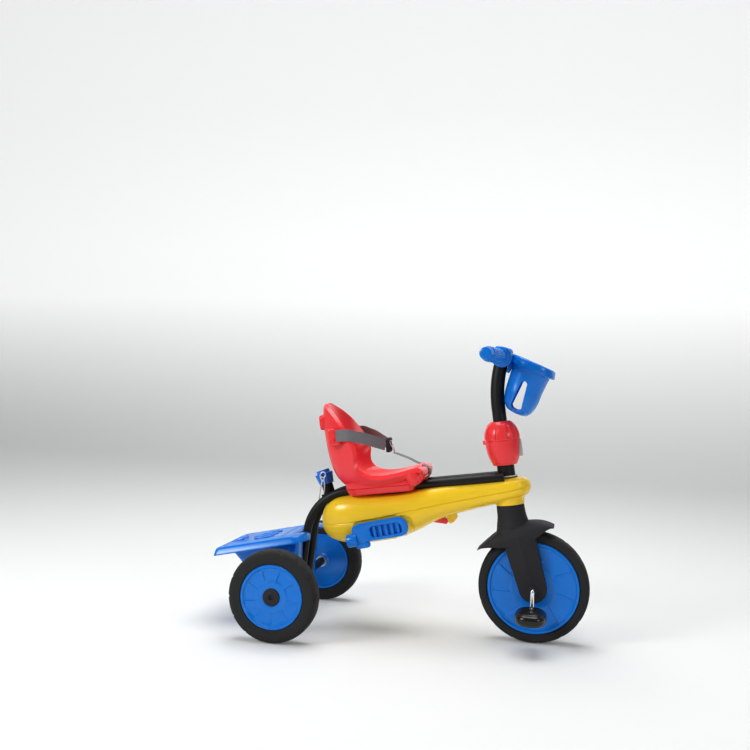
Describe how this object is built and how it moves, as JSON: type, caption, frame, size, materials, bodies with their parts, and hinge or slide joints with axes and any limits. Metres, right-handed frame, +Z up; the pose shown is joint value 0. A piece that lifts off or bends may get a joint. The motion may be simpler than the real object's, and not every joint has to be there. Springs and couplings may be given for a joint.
{
  "type": "children's tricycle",
  "caption": "Pedal tricycle for a small child, with a belted bucket seat, fold-out footrests, a lidded bin behind and a bucket on the handlebar.",
  "frame": {"origin": "on the floor, under the middle of the overall length and width", "axes": "+X forward in the riding direction, +Y to the rider's left, +Z up"},
  "size_m": [0.8683, 0.471, 0.6714],
  "materials": {
    "yellow_shell": "satin moulded plastic",
    "red_plastic": "glossy moulded plastic",
    "blue_plastic": "satin moulded plastic",
    "black_plastic": "satin moulded plastic",
    "pedal_plastic": "glossy moulded plastic",
    "black_paint": "gloss powder coat",
    "zinc": "zinc plate",
    "chrome_rod": "bright",
    "tyre_rubber": "smooth foam rubber",
    "webbing": "woven polyester webbing",
    "bush_nylon": "natural nylon",
    "badge": "grey moulded plastic"
  },
  "bodies": {
    "chassis": {"frame_tube_right": "black_paint", "frame_tube_left": "black_paint", "head_tube": "black_paint", "head_bushes": "bush_nylon", "axle_tube": "black_paint", "rear_axle": "zinc", "axle_nuts": "zinc", "body_upper": "yellow_shell", "body_lower": "yellow_shell", "seat_shell": "red_plastic", "seat_base": "red_plastic", "belt_anchors": "red_plastic", "belt_screws": "zinc", "belt_strap_right": "webbing", "belt_strap_left": "webbing", "belt_buckle": "black_plastic", "crotch_strap": "webbing", "socket_tube": "black_paint", "socket_collar": "blue_plastic", "socket_bracket": "black_paint", "locking_clip": "zinc", "bin_tub": "blue_plastic", "lid_hinge_pins": "zinc", "footrest_bars": "yellow_shell", "hinge_pins": "zinc"},
    "steering": {"steering_tube": "black_paint", "fork": "black_plastic", "fork_boot": "black_plastic", "fork_bushes": "bush_nylon", "collar_lower": "red_plastic", "collar_upper": "red_plastic", "collar_bolts": "zinc", "badge_plate": "badge", "handlebar_stem": "black_paint", "handlebar_bar": "black_paint", "handlebar_cover": "blue_plastic", "grip_right": "blue_plastic", "grip_left": "blue_plastic", "bucket": "blue_plastic"},
    "front_wheel": {"front_tyre": "tyre_rubber", "front_disc_right": "blue_plastic", "front_disc_left": "blue_plastic", "crank_axle": "chrome_rod"},
    "pedal_right_body": {"pedal_right": "pedal_plastic"},
    "pedal_left_body": {"pedal_left": "pedal_plastic"},
    "lid": {"bin_lid": "blue_plastic", "lid_latch": "blue_plastic"},
    "footrest_right_body": {"footrest_right": "blue_plastic"},
    "footrest_left_body": {"footrest_left": "blue_plastic"},
    "lever": {"release_lever": "red_plastic"},
    "rear_wheel_right": {"rear_tyre_right": "tyre_rubber", "rear_disc_right": "blue_plastic", "rear_inner_disc_right": "blue_plastic", "hub_cap_right": "black_plastic", "rear_bush_right": "bush_nylon"},
    "rear_wheel_left": {"rear_tyre_left": "tyre_rubber", "rear_disc_left": "blue_plastic", "rear_inner_disc_left": "blue_plastic", "hub_cap_left": "black_plastic", "rear_bush_left": "bush_nylon"}
  },
  "joints": [
    {"name": "steering_turn", "type": "hinge", "parent": "chassis", "child": "steering", "pos_m": [0.24188, 0, 0.36782], "axis": [-0.1478, 0, 0.989], "range_deg": [-35, 35]},
    {"name": "front_wheel_spin", "type": "hinge", "parent": "steering", "child": "front_wheel", "pos_m": [0.3085, 0, 0.125], "axis": [0, 1, 0], "continuous": true},
    {"name": "pedal_right_spin", "type": "hinge", "parent": "front_wheel", "child": "pedal_right_body", "pos_m": [0.3085, -0.1, 0.08], "axis": [0, 1, 0], "continuous": true},
    {"name": "pedal_left_spin", "type": "hinge", "parent": "front_wheel", "child": "pedal_left_body", "pos_m": [0.3085, 0.1, 0.17], "axis": [0, 1, 0], "continuous": true},
    {"name": "rear_wheel_right_spin", "type": "hinge", "parent": "chassis", "child": "rear_wheel_right", "pos_m": [-0.2465, -0.212, 0.1015], "axis": [0, 1, 0], "continuous": true},
    {"name": "rear_wheel_left_spin", "type": "hinge", "parent": "chassis", "child": "rear_wheel_left", "pos_m": [-0.2465, 0.212, 0.1015], "axis": [0, 1, 0], "continuous": true},
    {"name": "lid_open", "type": "hinge", "parent": "chassis", "child": "lid", "pos_m": [-0.23381, 0, 0.19881], "axis": [0, 1, 0], "range_deg": [0, 60]},
    {"name": "footrest_right_fold", "type": "hinge", "parent": "chassis", "child": "footrest_right_body", "pos_m": [-0.11158, -0.075, 0.20175], "axis": [0.9724, 0, 0.2334], "range_deg": [0, 90]},
    {"name": "footrest_left_fold", "type": "hinge", "parent": "chassis", "child": "footrest_left_body", "pos_m": [-0.11158, 0.075, 0.20175], "axis": [-0.9724, 0, -0.2334], "range_deg": [0, 90]},
    {"name": "lever_press", "type": "hinge", "parent": "chassis", "child": "lever", "pos_m": [0.06142, 0, 0.26198], "axis": [0, -1, 0], "range_deg": [0, 12]}
  ]
}
